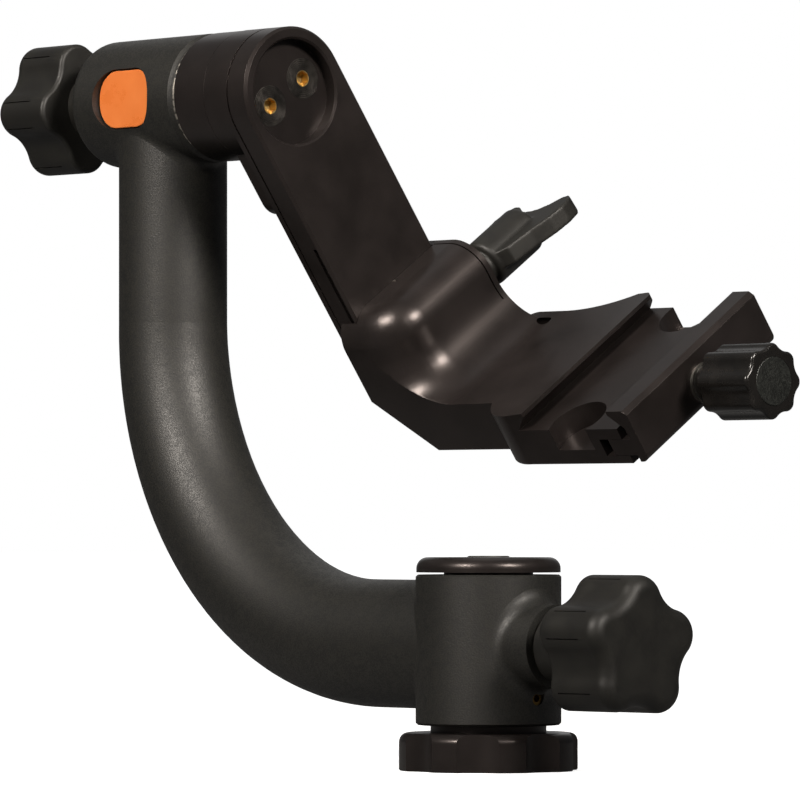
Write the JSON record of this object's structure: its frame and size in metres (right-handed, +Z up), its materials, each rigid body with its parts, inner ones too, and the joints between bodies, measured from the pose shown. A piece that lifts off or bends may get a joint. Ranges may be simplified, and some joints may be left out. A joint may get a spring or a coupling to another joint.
{
  "type": "gimbal tripod head",
  "caption": "Side-mount gimbal tripod head: curved cast arm on a panning foot, swinging arm with a height-adjustable dovetail lens clamp, star locking knobs.",
  "frame": {"origin": "centre of the foot's flat underside, on the pan axis, at the mouth of the tripod thread", "axes": "+Z up along the pan axis; +X along the tilt axis from the barrel towards the lens clamp; +Y completes a right-handed frame. Rest pose has the swing arm tilted 35 degrees from hanging."},
  "size_m": [0.2624, 0.1169, 0.2114],
  "materials": {
    "anodised_aluminium": "black satin anodised aluminium",
    "bright_aluminium": "turned",
    "powder_coat": "fine textured black powder coat on cast aluminium",
    "stainless_steel": "satin",
    "bearing_steel": "ground",
    "brass": "turned",
    "orange_badge": "gloss orange inlay",
    "nylon": "matte",
    "moulded_plastic": "fine moulded grain",
    "gloss_plastic": "semi-gloss"
  },
  "bodies": {
    "base": {"foot_disc": "anodised_aluminium", "foot_screws": "stainless_steel", "pan_spacer": "anodised_aluminium", "pan_spindle": "bright_aluminium", "pan_bearing_inner_rings": "bearing_steel", "pan_cap": "anodised_aluminium", "pan_cap_screw": "stainless_steel"},
    "arm": {"cast_arm": "powder_coat", "pan_bearing_outer_rings": "bearing_steel", "pan_bearing_balls": "bearing_steel", "pan_set_screw": "brass", "badge_plate": "orange_badge", "tilt_bearing_outer_rings": "bearing_steel", "tilt_bearing_balls": "bearing_steel"},
    "pan_brake": {"pan_brake_pad": "nylon"},
    "pan_lock": {"pan_knob": "moulded_plastic", "pan_knob_stud": "stainless_steel"},
    "swing": {"swing_arm": "anodised_aluminium", "tilt_spindle": "anodised_aluminium", "tilt_friction_washer": "nylon", "tilt_bearing_inner_rings": "bearing_steel", "tilt_bearing_spacer": "bright_aluminium", "hub_screws": "stainless_steel", "stop_pin": "stainless_steel"},
    "tilt_brake": {"tilt_lock_washer": "nylon"},
    "tilt_lock": {"tilt_knob": "moulded_plastic", "tilt_knob_insert": "brass"},
    "platform": {"clamp_platform": "anodised_aluminium"},
    "height_brake": {"wing_washer": "stainless_steel"},
    "height_lock": {"wing_knob": "moulded_plastic", "wing_screw": "stainless_steel"},
    "jaw": {"moving_jaw": "anodised_aluminium", "jaw_spring": "bearing_steel"},
    "jaw_drive": {"clamp_knob": "gloss_plastic", "clamp_knob_cap": "moulded_plastic", "clamp_screw": "stainless_steel", "clamp_washer": "stainless_steel"}
  },
  "joints": [
    {"name": "pan", "type": "hinge", "parent": "base", "child": "arm", "pos_m": [0, 0, 0.0346], "axis": [0, 0, 1], "continuous": true},
    {"name": "pan_brake_slide", "type": "slide", "parent": "arm", "child": "pan_brake", "axis": [-1, 0, 0], "range_m": [-0.00125, 0.00038]},
    {"name": "pan_knob_turn", "type": "hinge", "parent": "pan_brake", "child": "pan_lock", "pos_m": [0.05, 0, 0.0346], "axis": [-1, 0, 0], "range_deg": [-360, 110]},
    {"name": "tilt", "type": "hinge", "parent": "arm", "child": "swing", "pos_m": [-0.1, 0, 0.1926], "axis": [1, 0, 0], "continuous": true},
    {"name": "tilt_brake_slide", "type": "slide", "parent": "swing", "child": "tilt_brake", "axis": [1, 0, 0], "range_m": [-0.0015, 0.00038]},
    {"name": "tilt_knob_turn", "type": "hinge", "parent": "tilt_brake", "child": "tilt_lock", "pos_m": [-0.18, 0, 0.1926], "axis": [1, 0, 0], "range_deg": [-360, 90]},
    {"name": "platform_height", "type": "slide", "parent": "swing", "child": "platform", "axis": [0, -0.5736, 0.8192], "range_m": [0, 0.026]},
    {"name": "height_brake_slide", "type": "slide", "parent": "platform", "child": "height_brake", "axis": [0, -0.8192, -0.5736], "range_m": [-0.0008, 0.000133]},
    {"name": "wing_knob_turn", "type": "hinge", "parent": "height_brake", "child": "height_lock", "pos_m": [-0.0742, 0.06868, 0.14682], "axis": [0, -0.8192, -0.5736], "range_deg": [-360, 60]},
    {"name": "jaw_slide", "type": "slide", "parent": "platform", "child": "jaw", "axis": [-1, 0, 0], "range_m": [-0.0008, 0.00311]},
    {"name": "clamp_knob_turn", "type": "hinge", "parent": "jaw", "child": "jaw_drive", "pos_m": [0.04, 0.05925, 0.10798], "axis": [-1, 0, 0], "range_deg": [-360, 1400]}
  ],
  "couplings": [
    {"joint": "pan_knob_turn", "follows": "pan_brake_slide", "rad_per_m": 5026.5},
    {"joint": "tilt_knob_turn", "follows": "tilt_brake_slide", "rad_per_m": 4188.8},
    {"joint": "wing_knob_turn", "follows": "height_brake_slide", "rad_per_m": 7854},
    {"joint": "clamp_knob_turn", "follows": "jaw_slide", "rad_per_m": 7854}
  ]
}
